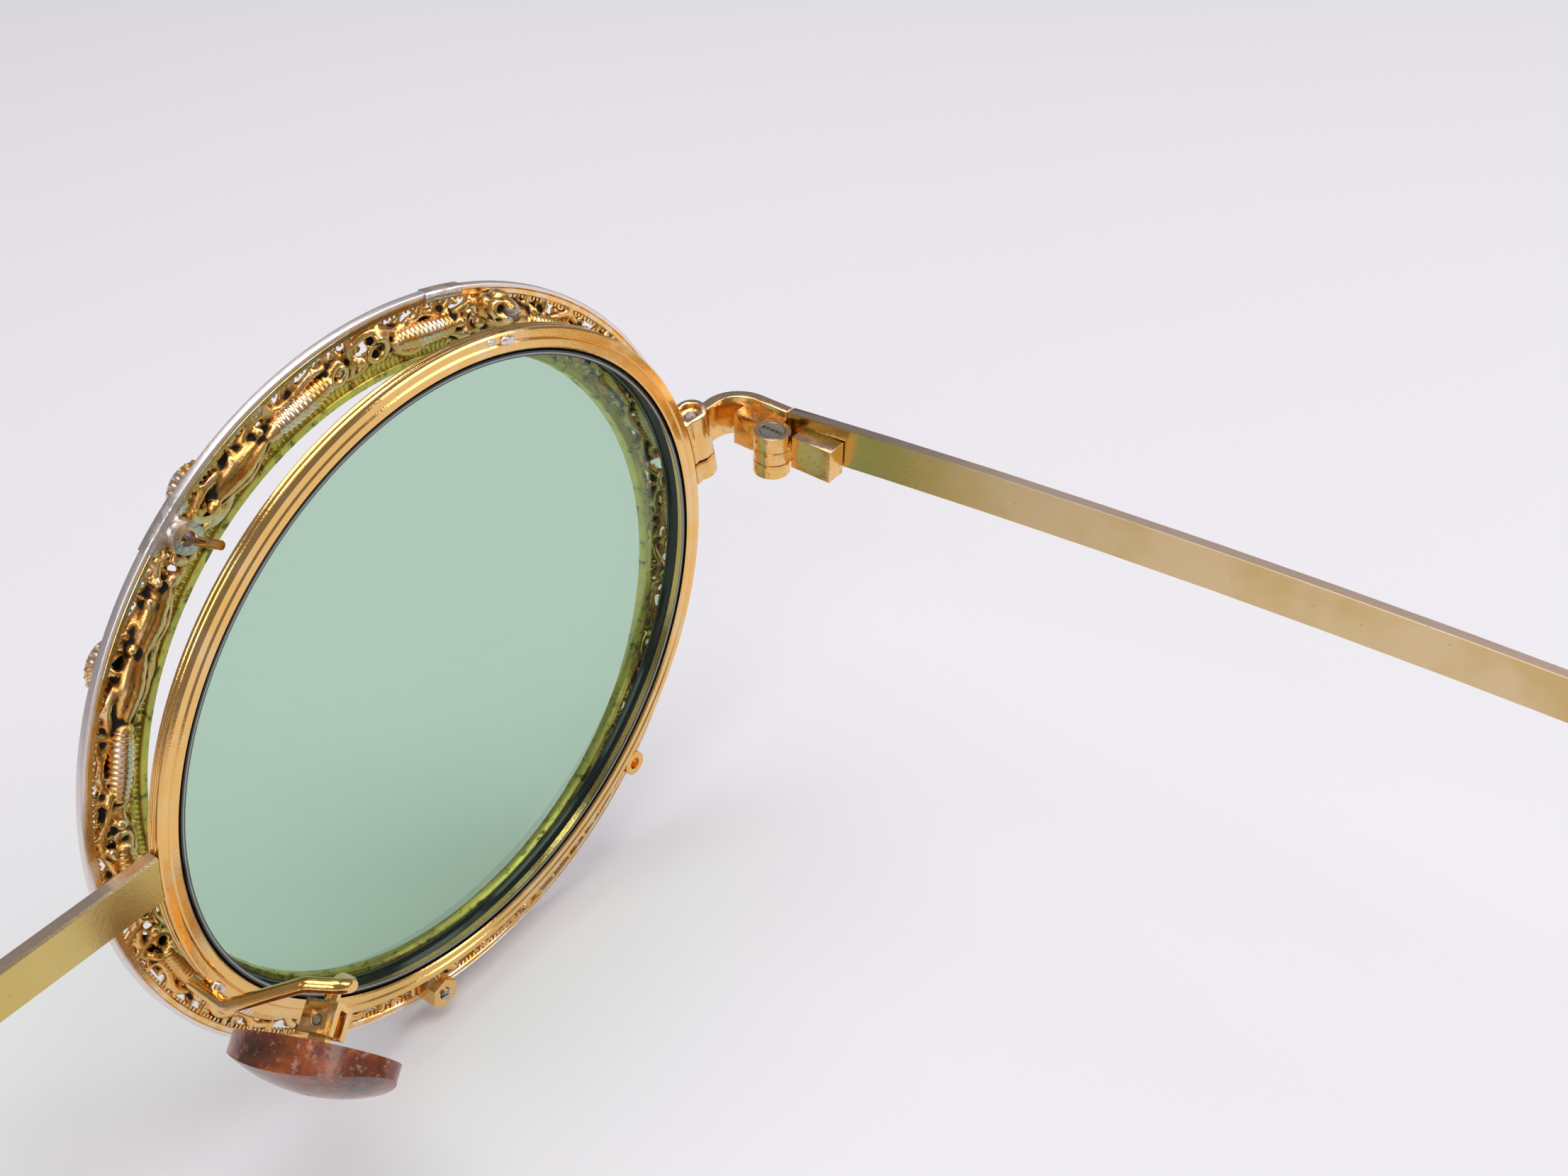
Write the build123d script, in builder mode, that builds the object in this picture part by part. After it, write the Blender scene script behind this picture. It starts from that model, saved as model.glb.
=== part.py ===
from build123d import *
import os
from math import asin, cos, radians, sin

os.makedirs("parts", exist_ok=True)

# Round-eye metal spectacles with an ornamental clip ring over each lens.
# +X is the wearer's left, -Y is forwards, +Z is up, and the ring bottoms and
# temple tips stand on z = 0. Every piece is drawn for the wearer's right eye
# and mirrored about the YZ plane for the left one.

# ---------------------------------------------------------------- front frame
lens_spacing = 70.0        # lens centre to lens centre
rim_inner_r = 24.5
rim_wall = 1.5             # radial width of the eyewire
rim_depth = 1.9
rim_edge = 0.15            # small bevels and the bead line of the eyewire
rim_split = 0.3            # saw cut that lets the eyewire open
lens_thickness = 1.5
lens_recess = 0.2          # lens rear face behind the eyewire's rear face
groove_depth = 0.5
fit_gap = 0.05             # clearance of everything that slides, turns or seats

bridge_height = 3.5
bridge_thickness = 1.0
bridge_rise = 2.6          # bridge centre above the lens centre

# ---------------------------------------------------------------- clip ring
# Radii and forward distances are measured from the clip ring's own leaning axis.
ring_outer_r = 28.35
ring_inner_r = 23.4
ring_wall = 0.75
band_wall = 0.6
wall_rear = 3.35           # from the eyewire's rear face
wall_front = 4.05
band_rear = 3.9            # the ring is dished, so the inner band stands further forward
band_front = 4.85
floor_thickness = 0.55
floor_step = 0.1           # the openwork lies this far behind the band's front edge
ring_drop = 0.8            # the clip ring sits a little low on the eyewire
ring_lean = 0.076          # how far it leans forwards for each mm of height
ring_turn = 0.017          # and for each mm towards the nose
window_count = 28
window_width = 1.2
window_length = 1.9
cluster_angles = (46, 134, 226, 314)   # the stone clusters, from the nose side up
stone_spread = 12.5
stone_pitch_r = 26.0
stone_r = 1.75
stone_seat = 4.75
stone_height = 1.45
bezel_wall = 0.3
bezel_front = 5.3
bead_r = 0.55
bead_offsets = (-23, 0, 23)
barrel_angles = (3, 21, 76, 99, 125, 160, 180, 200, 255, 298, 322, 342)
barrel_r = 0.85
barrel_length = 4.6
barrel_sink = 0.35         # how far the barrel's axis stands behind the openwork's rear

# posts behind the openwork: angle from the nose side up, radius, and rear end
post_data = {
    "boss": (110.8, 26.9, 0.6),
    "tube": (52.6, 26.9, 2.45),
    "nut": (-76.1, 27.0, 1.5),
    "loop": (-130.3, 27.5, 2.6),
}
post_r = 1.05
post_bore_r = 0.5
post_front = 3.9
bore_front = 3.3           # the posts' bores are blind
nut_width = 2.2            # across the nut's flats
screw_proud = 0.2
pin_r = 0.3
# where each catch pin ends on the eyewire: radius and distance forwards
pin_ends = {"tube": (25.6, 2.35), "nut": (26.15, 1.0), "loop": (26.15, 1.3)}

# ---------------------------------------------------------------- closing block
block_angle = 167.5
block_r = 1.3
block_pitch_r = 27.35
block_length = 6.3
block_split = -1.2         # split plane along the block, below its middle
block_screw_r = 0.4
block_head_r = 0.75
block_head_depth = 0.5

# ---------------------------------------------------------------- hinge
strap_height = 3.4
strap_thickness = 0.9
strap_rise = 6.8           # strap centre above the lens centre
pin_x = -29.2              # hinge pin from the lens centre
pin_y = 4.6                # hinge pin behind the eyewire's rear face
strap_offset = 1.8         # pin axis to the strap's inner face
strap_corner_r = 2.6
barrel_top = 7.8           # hinge barrels, from the lens centre
barrel_bottom = 4.2
knuckle_split_top = 6.55
knuckle_split_bottom = 5.35
knuckle_r = 1.45
hinge_screw_r = 0.6
hinge_head_r = 0.95
hinge_head_depth = 0.55
leaf_length = 2.3
temple_block_length = 3.6
leaf_thickness = 1.5
leaf_top = 7.7
leaf_bottom = 4.9
slot_width = 0.35
slot_depth = 0.25

# ---------------------------------------------------------------- temples
temple_reach = 137.0       # eyewire's rear face to the end of the tips
temple_flare = 4.0         # degrees outwards from the hinge
temple_inward = 10.0       # degrees inwards at the ear
flare_length = 62.0
bow_r = 150.0
temple_bow = 1.3           # gentle rise of the strip between hinge and ear
ear_angle = 42.0
ear_r = 22.0
tip_height = 5.0
tip_thickness = 2.8
core_height = 1.9

# ---------------------------------------------------------------- nose pads
pad_centre = (23.0, 7.5, -10.6)        # back face's middle, from the lens centre
pad_facing = (0.80, 0.35, -0.45)
pad_along = (-0.15, 0.97, 0.12)
pad_length = 12.0
pad_width = 7.2
pad_thickness = 2.9
pad_crown_r = 11.0
box_length = 2.4
box_width = 1.9
box_front = 0.7
box_back = 2.9
slot_back = 2.45
pivot_depth = 1.6
lug_thickness = 0.7
lug_r = 0.65
pivot_r = 0.3
arm_r = 0.5
arm_root_angle = -20

# ---------------------------------------------------------------- shared places
rim_outer_r = rim_inner_r + rim_wall
channel_inner_r = ring_inner_r + band_wall
channel_outer_r = ring_outer_r - ring_wall
channel_mid_r = (channel_inner_r + channel_outer_r) / 2


def polar(radius, angle):
    return radius * cos(radians(angle)), radius * sin(radians(angle))


def leaning(origin):
    """The clip ring's plane: local x towards the nose, z forwards along its axis."""
    return Plane(origin=origin, x_dir=(1, -ring_turn, 0), z_dir=(-ring_turn, -1, -ring_lean))


stone_places = [
    polar(stone_pitch_r, cluster + side * stone_spread) for cluster in cluster_angles for side in (-1, 1)
]
stone_top = stone_seat + stone_height
dome_height = stone_top - bezel_front
dome_r = (stone_r**2 + dome_height**2) / (2 * dome_height)
trial = leaning((0, 0, 0))
front_reach = dome_r + max(-trial.from_local_coords((x, y, stone_top - dome_r)).Y for x, y in stone_places)
lean_angle = asin(-trial.z_dir.Z)

eye_x = -lens_spacing / 2
eye_z = ring_drop + ring_outer_r * cos(lean_angle) + wall_front * sin(lean_angle)
rim_y = (front_reach - temple_reach) / 2

eye_origin = Vector(eye_x, rim_y, eye_z)
eye = Plane(origin=eye_origin, x_dir=(1, 0, 0), z_dir=(0, -1, 0))
ring = leaning((eye_x, rim_y, eye_z - ring_drop))


def from_eye(x, y, z):
    """A point from the lens centre: nasal, rearwards, up."""
    return eye_origin + Vector(x, y, z)


def lathe(plane):
    """Sketch plane of a turned profile: local x is the radius, local y is rearwards."""
    return Plane(origin=plane.origin, x_dir=plane.x_dir, z_dir=plane.y_dir)


def radial(plane, angle):
    """Unit vector outwards from a plane's axis at an angle from its local x."""
    return plane.x_dir * cos(radians(angle)) + plane.y_dir * sin(radians(angle))


def write_pair(piece, name):
    """Write the right-hand piece and its mirror image as two nodes."""
    with BuildPart() as right:
        add(piece)
    with BuildPart() as left:
        mirror(piece, about=Plane.YZ)
    right.part.label = name + "_right"
    left.part.label = name + "_left"
    export_step(right.part, "parts/" + name + "_right.step")
    export_step(left.part, "parts/" + name + "_left.step")


def turned(plane, points):
    """A full turn of a profile given as (radius, distance forwards)."""
    with BuildPart() as body:
        with BuildSketch(lathe(plane)):
            with BuildLine():
                Polyline(*[(r, -d) for r, d in points], close=True)
            make_face()
        revolve(axis=Axis(plane.origin, plane.z_dir))
    return body.part


def disc(plane, radius, low, high):
    """A solid cylinder along a plane's normal between two heights."""
    with BuildPart() as body:
        with BuildSketch(plane.offset(low)):
            Circle(radius)
        extrude(amount=high - low)
    return body.part


# ---------------------------------------------------------------- closing block
block_plane = Plane(
    origin=eye.from_local_coords(polar(block_pitch_r, block_angle) + (rim_depth / 2,)),
    x_dir=(cos(radians(block_angle)), 0, sin(radians(block_angle))),
    z_dir=(sin(radians(block_angle)), 0, -cos(radians(block_angle))),
)
rim_core = disc(eye, rim_outer_r, -3, rim_depth + 3)


def closing_half(low, high):
    """One half of the barrel that closes the eyewire, brazed to its outer side."""
    inward = block_pitch_r - rim_outer_r + rim_wall / 2
    with BuildPart() as body:
        with BuildSketch(block_plane.offset(low)):
            Circle(block_r)
            with Locations((-inward / 2, 0)):
                Rectangle(inward, rim_depth)
        extrude(amount=high - low)
        add(rim_core, mode=Mode.SUBTRACT)
        add(disc(block_plane, block_screw_r + fit_gap, low - 1, high + 1), mode=Mode.SUBTRACT)
    return body.part


block_low = -block_length / 2
block_high = block_length / 2
head_space_r = block_head_r + fit_gap

with BuildPart() as closing_block_upper:
    add(closing_half(block_split + rim_split / 2, block_high))
    add(disc(block_plane, head_space_r, block_high - block_head_depth, block_high + 1), mode=Mode.SUBTRACT)
write_pair(closing_block_upper.part, "closing_block_upper")

with BuildPart() as closing_block_lower:
    add(closing_half(block_low, block_split - rim_split / 2))
    add(disc(block_plane, head_space_r, block_low - 1, block_low + block_head_depth), mode=Mode.SUBTRACT)
write_pair(closing_block_lower.part, "closing_block_lower")

with BuildPart() as closing_screw:
    add(disc(block_plane, block_head_r, block_low + fit_gap, block_low + block_head_depth))
    add(disc(block_plane, block_screw_r, block_low + block_head_depth, block_high - block_head_depth))
    with BuildSketch(block_plane.offset(block_low)):
        Rectangle(slot_width, 3 * block_head_r)
    extrude(amount=slot_depth, mode=Mode.SUBTRACT)
write_pair(closing_screw.part, "closing_screw")

# ---------------------------------------------------------------- eyewire and lens
groove_mid = lens_recess + lens_thickness / 2
rim_mid_r = (rim_inner_r + rim_outer_r) / 2
rim_profile = [
    (rim_inner_r, rim_edge),
    (rim_inner_r + rim_edge, 0),
    (rim_mid_r - rim_edge, 0),
    (rim_mid_r, rim_edge),
    (rim_mid_r + rim_edge, 0),
    (rim_outer_r - rim_edge, 0),
    (rim_outer_r, rim_edge),
    (rim_outer_r, rim_depth - rim_edge),
    (rim_outer_r - rim_edge, rim_depth),
    (rim_inner_r + rim_edge, rim_depth),
    (rim_inner_r, rim_depth - rim_edge),
    (rim_inner_r, groove_mid + groove_depth),
    (rim_inner_r + groove_depth, groove_mid),
    (rim_inner_r, groove_mid - groove_depth),
]
split_plane = block_plane.offset(block_split - rim_split / 2)

with BuildPart() as eyewire:
    add(turned(eye, rim_profile))
    with BuildSketch(split_plane):
        Rectangle(4 * rim_wall + 2 * block_r, 3 * rim_depth)
    extrude(amount=rim_split, mode=Mode.SUBTRACT)
write_pair(eyewire.part, "eyewire")

lens_face_r = rim_inner_r - 2 * fit_gap
bevel = lens_thickness / 2 - rim_edge
lens_profile = [
    (0, lens_recess),
    (lens_face_r - bevel + groove_depth, lens_recess),
    (lens_face_r, groove_mid - groove_depth),
    (lens_face_r + groove_depth, groove_mid),
    (lens_face_r, groove_mid + groove_depth),
    (lens_face_r - bevel + groove_depth, lens_recess + lens_thickness),
    (0, lens_recess + lens_thickness),
]
with BuildPart() as lens:
    add(turned(eye, lens_profile))
write_pair(lens.part, "lens")

# ---------------------------------------------------------------- bridge
with BuildPart() as bridge_bar:
    with BuildSketch(Plane.XZ.offset(-rim_y)):
        with Locations((0, eye_z + bridge_rise)):
            Rectangle(lens_spacing - rim_inner_r, bridge_height)
    extrude(amount=bridge_thickness)
    edges_along = bridge_bar.edges().filter_by(Axis.X)
    chamfer(edges_along, rim_edge)
    add(rim_core, mode=Mode.SUBTRACT)
    add(mirror(rim_core, about=Plane.YZ), mode=Mode.SUBTRACT)
bridge_bar.part.label = "bridge_bar"
export_step(bridge_bar.part, "parts/bridge_bar.step")

# ---------------------------------------------------------------- hinge
pin = from_eye(pin_x, pin_y, 0)
strap_inner_x = pin.X - strap_offset
strap_mid_x = strap_inner_x - strap_thickness / 2
butt_y = pin.Y
hinge_plane = Plane(origin=pin, x_dir=(1, 0, 0), z_dir=(0, 0, 1))
strap_low = eye_z + strap_rise - strap_height / 2

with BuildPart() as endpiece:
    with BuildSketch(Plane.XY.offset(strap_low)):
        with BuildLine():
            start = (eye_x + polar(block_pitch_r, block_angle)[0] - block_r / 2, rim_y - rim_depth / 2)
            corner = (strap_mid_x, start[1])
            FilletPolyline(start, corner, (strap_mid_x, butt_y), radius=strap_corner_r)
        trace(line_width=strap_thickness)
    extrude(amount=strap_height)
    add(disc(block_plane, block_r, 2 * block_low, 2 * block_high), mode=Mode.SUBTRACT)
write_pair(endpiece.part, "endpiece")


def hinge_leaf(near, far, low, high):
    """The plate of a hinge leaf on the strap's inner face, between two distances from the pin."""
    with BuildPart() as body:
        with BuildSketch(hinge_plane.offset(low)):
            with Locations((-strap_offset + leaf_thickness / 2, (near + far) / 2)):
                Rectangle(leaf_thickness, abs(far - near))
        extrude(amount=high - low)
    return body.part


def knuckle(low, high, side):
    """One hinge barrel with its web to the strap's inner face; side is -1 in front, 1 behind."""
    with BuildPart() as body:
        with BuildSketch(hinge_plane.offset(low)):
            Circle(knuckle_r)
            with Locations((-strap_offset / 2, side * knuckle_r / 2)):
                Rectangle(strap_offset, knuckle_r)
        extrude(amount=high - low)
    return body.part


clear_r = knuckle_r + 3 * fit_gap
with BuildPart() as front_hinge:
    add(hinge_leaf(-clear_r, -clear_r - leaf_length, leaf_bottom, leaf_top))
    add(knuckle(knuckle_split_top, barrel_top, -1))
    add(knuckle(barrel_bottom, knuckle_split_bottom, -1))
    for low, high in ((knuckle_split_top, leaf_top), (leaf_bottom, knuckle_split_bottom)):
        add(hinge_leaf(-knuckle_r / 2, -clear_r, low, high))
    add(disc(hinge_plane, hinge_screw_r + fit_gap, barrel_bottom - 1, barrel_top + 1), mode=Mode.SUBTRACT)
    head_low = barrel_top - hinge_head_depth - fit_gap
    add(disc(hinge_plane, hinge_head_r + fit_gap, head_low, barrel_top + 1), mode=Mode.SUBTRACT)
    add(endpiece.part, mode=Mode.SUBTRACT)
write_pair(front_hinge.part, "front_hinge")

with BuildPart() as hinge_screw:
    add(disc(hinge_plane, hinge_head_r, head_low + fit_gap, barrel_top))
    add(disc(hinge_plane, hinge_screw_r, barrel_bottom, head_low + fit_gap))
    with BuildSketch(hinge_plane.offset(barrel_top - slot_depth)):
        Rectangle(slot_width, 3 * hinge_head_r)
    extrude(amount=2 * slot_depth, mode=Mode.SUBTRACT)
write_pair(hinge_screw.part, "hinge_screw")

# ---------------------------------------------------------------- temples
strap_z = eye_z + strap_rise
tip_r = tip_height / 2
start_y = butt_y + fit_gap
ear_drop = ear_r * (1 - cos(radians(ear_angle)))
tip_length = (strap_z - ear_drop - tip_r) / sin(radians(ear_angle))
ear_run = (ear_r * sin(radians(ear_angle))) + tip_length * cos(radians(ear_angle))
ear_y = rim_y + temple_reach - tip_r - ear_run
reach = 2 * temple_reach


def plan_band(thickness, length):
    """The temple from above: flared from the hinge, then bowed in to the ear."""
    flare = (-sin(radians(temple_flare)), cos(radians(temple_flare)))
    inward = (sin(radians(temple_inward)), cos(radians(temple_inward)))
    with BuildPart() as body:
        with BuildSketch(Plane.XY.offset(-reach / 2)):
            with BuildLine():
                first = PolarLine((strap_mid_x, butt_y - 1), flare_length, direction=flare)
                bow = JernArc(first @ 1, first % 1, bow_r, -temple_flare - temple_inward)
                PolarLine(bow @ 1, length, direction=inward)
            trace(line_width=thickness)
        extrude(amount=reach)
    return body.part


def side_band(height, ahead):
    """The temple from the side: the slightly arched reach ahead of the ear, or the ear bend."""
    with BuildPart() as body:
        with BuildSketch(Plane.YZ.offset(eye_x - reach / 2)):
            with BuildLine():
                if ahead:
                    ThreePointArc(
                        (start_y, strap_z), ((start_y + ear_y) / 2, strap_z + temple_bow), (ear_y, strap_z)
                    )
                else:
                    bend = JernArc((ear_y, strap_z), (1, 0), ear_r, -ear_angle)
                    PolarLine(bend @ 1, tip_length, angle=-ear_angle)
            trace(line_width=height)
        extrude(amount=reach)
    return body.part


with BuildPart() as temple:
    add(side_band(strap_height, ahead=True))
    add(side_band(core_height, ahead=False))
    add(plan_band(strap_thickness, temple_reach), mode=Mode.INTERSECT)
    split(bisect_by=Plane(origin=(0, start_y, 0), z_dir=(0, 1, 0)), keep=Keep.TOP)
write_pair(temple.part, "temple")

with BuildPart() as temple_tip:
    add(side_band(tip_height, ahead=False))
    with BuildSketch(Plane.YZ.offset(eye_x - reach / 2)):
        with Locations((rim_y + temple_reach - tip_r, tip_r)):
            Circle(tip_r)
    extrude(amount=reach)
    add(plan_band(tip_thickness, temple_reach), mode=Mode.INTERSECT)
    add(temple.part, mode=Mode.SUBTRACT)
write_pair(temple_tip.part, "temple_tip")

tongue_low = knuckle_split_bottom + fit_gap
tongue_high = knuckle_split_top - fit_gap
with BuildPart() as temple_hinge:
    add(knuckle(tongue_low, tongue_high, 1))
    add(hinge_leaf(knuckle_r / 2, clear_r, tongue_low, tongue_high))
    add(hinge_leaf(clear_r, clear_r + temple_block_length, leaf_bottom, leaf_top))
    with BuildSketch(hinge_plane.offset(leaf_bottom)):
        with Locations((-strap_offset - fit_gap, clear_r + temple_block_length / 2)):
            Rectangle(10 * fit_gap, temple_block_length)
    extrude(amount=leaf_top - leaf_bottom)
    add(disc(hinge_plane, hinge_screw_r + fit_gap, barrel_bottom, barrel_top), mode=Mode.SUBTRACT)
    add(temple.part, mode=Mode.SUBTRACT)
write_pair(temple_hinge.part, "temple_hinge")

# ---------------------------------------------------------------- nose pads
facing = Vector(*pad_facing).normalized()
along = Vector(*pad_along)
along = (along - facing * along.dot(facing)).normalized()
pad_origin = from_eye(*pad_centre)
pad_plane = Plane(origin=pad_origin, x_dir=along, z_dir=facing)
width_dir = pad_plane.y_dir
pivot_origin = pad_origin - facing * pivot_depth
pivot_plane = Plane(origin=pivot_origin, x_dir=along, z_dir=width_dir)

with BuildPart() as nose_pad:
    with BuildSketch(pad_plane):
        Ellipse(pad_length / 2, pad_width / 2)
    extrude(amount=pad_thickness)
    with Locations(pad_plane.offset(pad_thickness - pad_crown_r)):
        Sphere(pad_crown_r, mode=Mode.INTERSECT)
write_pair(nose_pad.part, "nose_pad")

with BuildPart() as pad_box:
    with BuildSketch(pad_plane.offset(-box_back)):
        Rectangle(box_length, box_width)
    extrude(amount=box_back - box_front)
    with BuildSketch(pad_plane.offset(-slot_back)):
        Rectangle(2 * box_length, lug_thickness + 2 * fit_gap)
    extrude(amount=slot_back, mode=Mode.SUBTRACT)
    add(disc(pivot_plane, pivot_r + fit_gap, -box_width, box_width), mode=Mode.SUBTRACT)
write_pair(pad_box.part, "pad_box")

with BuildPart() as pad_lug:
    with BuildSketch(pivot_plane.offset(-lug_thickness / 2)):
        Circle(lug_r)
        with Locations(pivot_plane.to_local_coords(pad_origin - facing * pivot_depth / 2)):
            Rectangle(2 * lug_r, pivot_depth)
        Circle(pivot_r + fit_gap, mode=Mode.SUBTRACT)
    extrude(amount=lug_thickness)
write_pair(pad_lug.part, "pad_lug")

with BuildPart() as pad_pin:
    add(disc(pivot_plane, pivot_r, -box_width / 2, box_width / 2))
write_pair(pad_pin.part, "pad_pin")

box_end = pad_origin - facing * box_back
arm_out_r = rim_outer_r + arm_r
root_x, root_z = polar(arm_out_r, arm_root_angle)
arm_points = [
    from_eye(root_x, -rim_depth + 0.2, root_z),
    from_eye(root_x, 1.6, root_z),
    from_eye(22.0, 6.3, -6.2),
    from_eye(20.2, 9.0, -6.3),
    box_end - facing * 1.6,
    box_end,
]
with BuildPart() as pad_arm:
    with BuildLine():
        wire_path = FilletPolyline(*arm_points, radius=0.9)
    with BuildSketch(Plane(origin=wire_path @ 0, z_dir=wire_path % 0)):
        Circle(arm_r)
    sweep()
write_pair(pad_arm.part, "pad_arm")

# ---------------------------------------------------------------- clip ring


def annulus(inner, outer, low, high):
    """A flat ring about the clip ring's axis between two distances forwards."""
    return turned(ring, [(inner, low), (outer, low), (outer, high), (inner, high)])


def post_plane(key):
    """The plane of a post's axis at the eyewire's rear face, facing forwards."""
    angle, radius, _ = post_data[key]
    place = ring.from_local_coords(polar(radius, angle) + (0,))
    return Plane(origin=place, x_dir=radial(ring, angle), z_dir=ring.z_dir)


post_planes = {key: post_plane(key) for key in post_data}
band_side_front = band_front - floor_step
floor_solid = turned(ring, [
    (channel_inner_r, band_side_front - floor_thickness),
    (channel_outer_r, wall_front - floor_thickness),
    (channel_outer_r, wall_front),
    (channel_inner_r, band_side_front),
])
floor_mid = (wall_front + band_side_front) / 2

post_solids = {}
for key, (_, _, rear) in post_data.items():
    with BuildPart() as post:
        if key == "nut":
            with BuildSketch(post_planes[key].offset(rear)):
                RegularPolygon(nut_width / 2, 6, major_radius=False)
            extrude(amount=post_front - rear)
        else:
            add(disc(post_planes[key], post_r, rear, post_front))
        add(floor_solid, mode=Mode.SUBTRACT)
    post_solids[key] = post.part

with BuildPart() as clip_outer_wall:
    add(annulus(channel_outer_r, ring_outer_r, wall_rear, wall_front))
    for solid in post_solids.values():
        add(solid, mode=Mode.SUBTRACT)
write_pair(clip_outer_wall.part, "clip_outer_wall")

with BuildPart() as clip_inner_band:
    add(annulus(ring_inner_r, channel_inner_r, band_rear, band_front))
write_pair(clip_inner_band.part, "clip_inner_band")

with BuildPart() as clip_openwork:
    add(floor_solid)
    with BuildSketch(ring.offset(wall_rear)):
        with PolarLocations(channel_mid_r, window_count):
            SlotOverall(window_length, window_width)
    extrude(amount=band_front - wall_rear, mode=Mode.SUBTRACT)
write_pair(clip_openwork.part, "clip_openwork")

rim_room = disc(eye, rim_outer_r + 2 * fit_gap, -rim_depth, rim_depth + 2 * fit_gap)
barrel_forward = floor_mid - floor_thickness - barrel_sink
with BuildPart() as clip_barrels:
    for angle in barrel_angles:
        place = ring.from_local_coords(polar(channel_mid_r, angle) + (barrel_forward,))
        barrel_plane = Plane(origin=place, x_dir=ring.z_dir, z_dir=radial(ring, angle + 90))
        add(disc(barrel_plane, barrel_r, -barrel_length / 2, barrel_length / 2))
    add(floor_solid, mode=Mode.SUBTRACT)
    add(rim_room, mode=Mode.SUBTRACT)
write_pair(clip_barrels.part, "clip_barrels")

with BuildPart() as clip_bezels:
    with BuildSketch(ring.offset(wall_front)):
        with Locations(*stone_places):
            Circle(stone_r + bezel_wall)
    extrude(amount=bezel_front - wall_front)
    with BuildSketch(ring.offset(stone_seat)):
        with Locations(*stone_places):
            Circle(stone_r)
    extrude(amount=bezel_front, mode=Mode.SUBTRACT)
    add(floor_solid, mode=Mode.SUBTRACT)
    add(clip_inner_band.part, mode=Mode.SUBTRACT)
write_pair(clip_bezels.part, "clip_bezels")


def cabochon(x, y):
    """One domed stone seated in its bezel."""
    with BuildPart() as stone:
        with BuildSketch(ring.offset(stone_seat)):
            with Locations((x, y)):
                Circle(stone_r)
        extrude(amount=stone_height)
        with Locations(ring.from_local_coords((x, y, stone_top - dome_r))):
            Sphere(dome_r, mode=Mode.INTERSECT)
    return stone.part


with BuildPart() as clip_cabochons:
    for x, y in stone_places:
        add(cabochon(x, y))
    add(clip_inner_band.part, mode=Mode.SUBTRACT)
write_pair(clip_cabochons.part, "clip_cabochons")

with BuildPart() as clip_beads:
    for cluster in cluster_angles:
        for offset_angle in bead_offsets:
            place = polar(channel_mid_r, cluster + offset_angle) + (floor_mid + bead_r / 2,)
            with Locations(ring.from_local_coords(place)):
                Sphere(bead_r)
    add(floor_solid, mode=Mode.SUBTRACT)
write_pair(clip_beads.part, "clip_beads")


for key, (_, _, rear) in post_data.items():
    with BuildPart() as post:
        add(post_solids[key])
        add(disc(post_planes[key], post_bore_r, rear - 1, bore_front), mode=Mode.SUBTRACT)
    write_pair(post.part, "clip_" + key)

with BuildPart() as clip_screws:
    for key in ("boss", "nut"):
        head = post_data[key][2] - screw_proud
        add(disc(post_planes[key], post_bore_r - fit_gap, head, bore_front))
        with BuildSketch(post_planes[key].offset(head)):
            Rectangle(slot_width / 2, 3 * post_bore_r)
        extrude(amount=slot_depth, mode=Mode.SUBTRACT)
write_pair(clip_screws.part, "clip_screws")

catch_pins = []
for key, (end_r, end_forward) in pin_ends.items():
    angle, radius, rear = post_data[key]
    root_r = radius - (post_r + post_bore_r) / 2
    root = ring.from_local_coords(polar(root_r, angle) + (rear + 2 * pin_r,))
    run = eye.from_local_coords(polar(end_r, angle) + (end_forward,)) - root
    with BuildPart() as catch_pin:
        add(disc(Plane(origin=root, z_dir=run), pin_r, 0, run.length))
        add(post_solids[key], mode=Mode.SUBTRACT)
    catch_pins.append(catch_pin.solids().sort_by(SortBy.VOLUME)[-1])
with BuildPart() as clip_catch_pins:
    add(catch_pins)
write_pair(clip_catch_pins.part, "clip_catch_pins")
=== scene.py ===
import math
import random

import bmesh
import bpy
import numpy as np
from mathutils import Matrix, Vector, noise


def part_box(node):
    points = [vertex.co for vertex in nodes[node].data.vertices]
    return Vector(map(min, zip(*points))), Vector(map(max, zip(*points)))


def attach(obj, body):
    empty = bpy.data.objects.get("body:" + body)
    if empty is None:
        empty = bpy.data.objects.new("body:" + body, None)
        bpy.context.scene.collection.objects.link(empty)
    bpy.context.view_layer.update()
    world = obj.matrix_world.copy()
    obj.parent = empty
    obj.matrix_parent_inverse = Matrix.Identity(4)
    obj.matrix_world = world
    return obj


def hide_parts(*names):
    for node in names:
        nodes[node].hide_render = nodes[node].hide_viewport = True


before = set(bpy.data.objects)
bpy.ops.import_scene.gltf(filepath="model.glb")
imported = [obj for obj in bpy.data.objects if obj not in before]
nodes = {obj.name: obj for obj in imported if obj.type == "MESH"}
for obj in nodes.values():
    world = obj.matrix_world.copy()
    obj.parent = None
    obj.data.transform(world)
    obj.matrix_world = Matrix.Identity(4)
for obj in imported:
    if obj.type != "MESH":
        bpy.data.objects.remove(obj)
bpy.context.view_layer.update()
mm = 0.001
sides = {"right": -1, "left": 1}


def report(stage):
    print("stage:", stage)


# places read from the frame
eyeLow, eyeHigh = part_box("eyewire_right")
eyeCentre = (eyeLow + eyeHigh) / 2
rearY = eyeHigh.y
report("frame loaded")


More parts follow.
